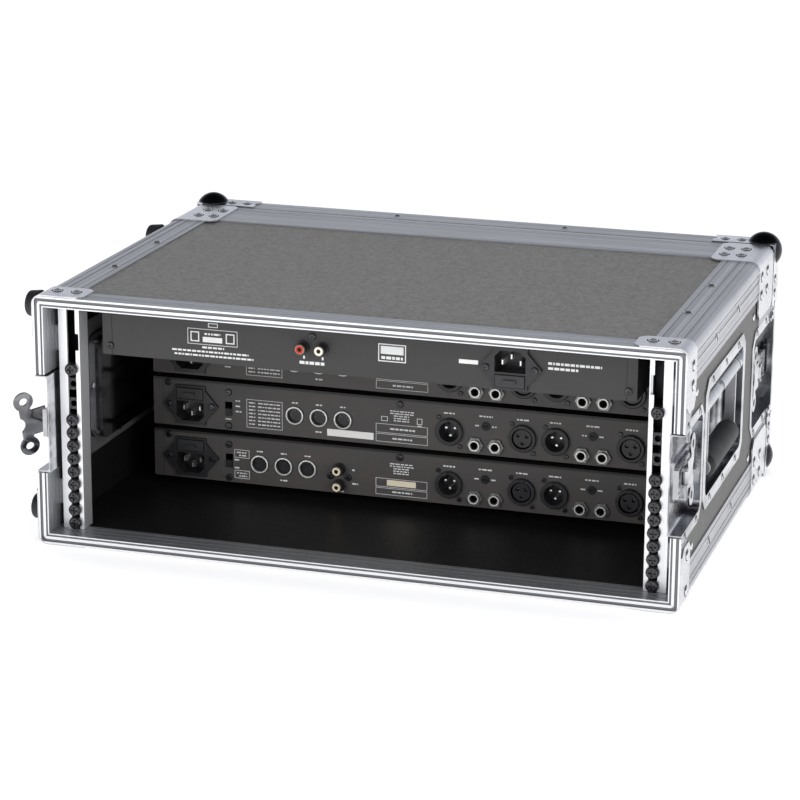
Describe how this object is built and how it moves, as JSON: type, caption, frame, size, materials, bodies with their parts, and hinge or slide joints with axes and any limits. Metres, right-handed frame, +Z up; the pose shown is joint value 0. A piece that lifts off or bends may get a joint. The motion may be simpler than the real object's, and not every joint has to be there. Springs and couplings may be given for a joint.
{
  "type": "equipment rack case",
  "caption": "Rack flight case for audio gear, open at the rear, with a lift-off front lid, recessed handles, butterfly latches and mounted one-unit devices.",
  "frame": {"origin": "centre of the base panel's outer face; the profiles stand 1.2 mm and the corner plates 2.4 mm below it", "axes": "+X across the case, +Y from the open rear end to the lidded front end, +Z up"},
  "size_m": [0.537, 0.3826, 0.2107],
  "materials": {
    "laminate": "satin laminate over plywood",
    "aluminium": "brushed",
    "zinc_plate": "bright zinc plated",
    "chrome": "polished",
    "black_steel": "black",
    "rubber": "matt",
    "device_paint": "textured black",
    "front_paint": "satin black",
    "black_plastic": "matt",
    "socket_steel": "nickel plated",
    "phono_metal": "gold plated"
  },
  "bodies": {
    "case": {"panel_top": "laminate", "panel_bottom": "laminate", "panel_left": "laminate", "panel_right": "laminate", "edge_angles": "aluminium", "rear_frame": "aluminium", "front_frame": "aluminium", "rack_rails": "aluminium", "rear_corner_plates": "zinc_plate", "front_corner_braces": "zinc_plate", "shell_rivets": "zinc_plate", "handle_springs": "zinc_plate", "handle_hinge_pins": "zinc_plate", "handle_backing_frames": "zinc_plate", "latch_dishes": "chrome", "handle_dish_left": "chrome", "handle_dish_right": "chrome", "rack_screws": "black_steel", "rail_nuts": "black_steel", "device_screws": "black_steel", "side_feet": "rubber", "device_1_chassis": "device_paint", "device_2_chassis": "device_paint", "device_3_chassis": "device_paint", "device_4_chassis": "device_paint", "device_front_panels": "front_paint", "mains_inlets": "black_plastic", "xlr_inputs": "black_plastic", "level_trimmers": "black_plastic", "xlr_outputs": "socket_steel", "jack_sockets": "socket_steel", "din_sockets": "socket_steel", "phono_sockets": "phono_metal"},
    "lid": {"lid_panel": "laminate", "lid_frame": "aluminium", "lid_ball_corners": "chrome", "lid_keepers": "chrome", "lid_rivets": "zinc_plate"},
    "handle_left": {"handle_bail_left": "zinc_plate", "handle_grip_left": "rubber"},
    "handle_right": {"handle_bail_right": "zinc_plate", "handle_grip_right": "rubber"},
    "spindle_rear_left": {"latch_spindle_rear_left": "chrome"},
    "wing_rear_left": {"latch_wing_rear_left": "chrome"},
    "hook_rear_left": {"latch_hook_rear_left": "chrome"},
    "spindle_rear_right": {"latch_spindle_rear_right": "chrome"},
    "wing_rear_right": {"latch_wing_rear_right": "chrome"},
    "hook_rear_right": {"latch_hook_rear_right": "chrome"},
    "spindle_front_left": {"latch_spindle_front_left": "chrome"},
    "wing_front_left": {"latch_wing_front_left": "chrome"},
    "hook_front_left": {"latch_hook_front_left": "chrome"},
    "spindle_front_right": {"latch_spindle_front_right": "chrome"},
    "wing_front_right": {"latch_wing_front_right": "chrome"},
    "hook_front_right": {"latch_hook_front_right": "chrome"},
    "fuse_drawer_1": {"fuse_drawer_1": "black_plastic"},
    "fuse_drawer_2": {"fuse_drawer_2": "black_plastic"},
    "fuse_drawer_3": {"fuse_drawer_3": "black_plastic"},
    "fuse_drawer_4": {"fuse_drawer_4": "black_plastic"},
    "slide_switch_1": {"slide_switch_1": "black_plastic"},
    "slide_switch_2": {"slide_switch_2": "black_plastic"}
  },
  "joints": [
    {"name": "lid_pull", "type": "slide", "parent": "case", "child": "lid", "axis": [0, 1, 0], "range_m": [0, 0.15]},
    {"name": "handle_swing_left", "type": "hinge", "parent": "case", "child": "handle_left", "pos_m": [-0.2505, -0.033, 0.131], "axis": [0, 1, 0], "range_deg": [0, 90], "stiffness_Nm_per_rad": 0.12},
    {"name": "handle_swing_right", "type": "hinge", "parent": "case", "child": "handle_right", "pos_m": [0.2505, -0.033, 0.131], "axis": [0, -1, 0], "range_deg": [0, 90], "stiffness_Nm_per_rad": 0.12},
    {"name": "latch_twist_rear_left", "type": "hinge", "parent": "case", "child": "spindle_rear_left", "pos_m": [-0.2465, -0.166, 0.0968], "axis": [-1, 0, 0], "range_deg": [0, 180]},
    {"name": "wing_fold_rear_left", "type": "hinge", "parent": "spindle_rear_left", "child": "wing_rear_left", "pos_m": [-0.2532, -0.166, 0.0968], "axis": [0, 0.2588, -0.9659], "range_deg": [0, 135]},
    {"name": "hook_slide_rear_left", "type": "slide", "parent": "case", "child": "hook_rear_left", "axis": [0, -1, 0], "range_m": [0, 0.012]},
    {"name": "latch_twist_rear_right", "type": "hinge", "parent": "case", "child": "spindle_rear_right", "pos_m": [0.2465, -0.166, 0.0968], "axis": [1, 0, 0], "range_deg": [0, 180]},
    {"name": "wing_fold_rear_right", "type": "hinge", "parent": "spindle_rear_right", "child": "wing_rear_right", "pos_m": [0.2532, -0.166, 0.0968], "axis": [0, 0, -1], "range_deg": [0, 90]},
    {"name": "hook_slide_rear_right", "type": "slide", "parent": "case", "child": "hook_rear_right", "axis": [0, -1, 0], "range_m": [0, 0.012]},
    {"name": "latch_twist_front_left", "type": "hinge", "parent": "case", "child": "spindle_front_left", "pos_m": [-0.2465, 0.136, 0.0968], "axis": [-1, 0, 0], "range_deg": [0, 180]},
    {"name": "wing_fold_front_left", "type": "hinge", "parent": "spindle_front_left", "child": "wing_front_left", "pos_m": [-0.2532, 0.136, 0.0968], "axis": [0, 0, -1], "range_deg": [0, 90]},
    {"name": "hook_slide_front_left", "type": "slide", "parent": "case", "child": "hook_front_left", "axis": [0, -1, 0], "range_m": [0, 0.012]},
    {"name": "latch_twist_front_right", "type": "hinge", "parent": "case", "child": "spindle_front_right", "pos_m": [0.2465, 0.136, 0.0968], "axis": [1, 0, 0], "range_deg": [0, 180]},
    {"name": "wing_fold_front_right", "type": "hinge", "parent": "spindle_front_right", "child": "wing_front_right", "pos_m": [0.2532, 0.136, 0.0968], "axis": [0, 0, 1], "range_deg": [0, 90]},
    {"name": "hook_slide_front_right", "type": "slide", "parent": "case", "child": "hook_front_right", "axis": [0, -1, 0], "range_m": [0, 0.012]},
    {"name": "fuse_drawer_pull_1", "type": "slide", "parent": "case", "child": "fuse_drawer_1", "axis": [0, -1, 0], "range_m": [0, 0.014]},
    {"name": "fuse_drawer_pull_2", "type": "slide", "parent": "case", "child": "fuse_drawer_2", "axis": [0, -1, 0], "range_m": [0, 0.014]},
    {"name": "fuse_drawer_pull_3", "type": "slide", "parent": "case", "child": "fuse_drawer_3", "axis": [0, -1, 0], "range_m": [0, 0.014]},
    {"name": "fuse_drawer_pull_4", "type": "slide", "parent": "case", "child": "fuse_drawer_4", "axis": [0, -1, 0], "range_m": [0, 0.014]},
    {"name": "switch_throw_1", "type": "slide", "parent": "case", "child": "slide_switch_1", "axis": [0, 0, 1], "range_m": [0, 0.005]},
    {"name": "switch_throw_2", "type": "slide", "parent": "case", "child": "slide_switch_2", "axis": [0, 0, 1], "range_m": [0, 0.005]}
  ],
  "couplings": [
    {"joint": "hook_slide_rear_left", "follows": "latch_twist_rear_left", "m_per_rad": 0.0038},
    {"joint": "hook_slide_rear_right", "follows": "latch_twist_rear_right", "m_per_rad": 0.0038},
    {"joint": "hook_slide_front_left", "follows": "latch_twist_front_left", "m_per_rad": 0.0038},
    {"joint": "hook_slide_front_right", "follows": "latch_twist_front_right", "m_per_rad": 0.0038}
  ]
}
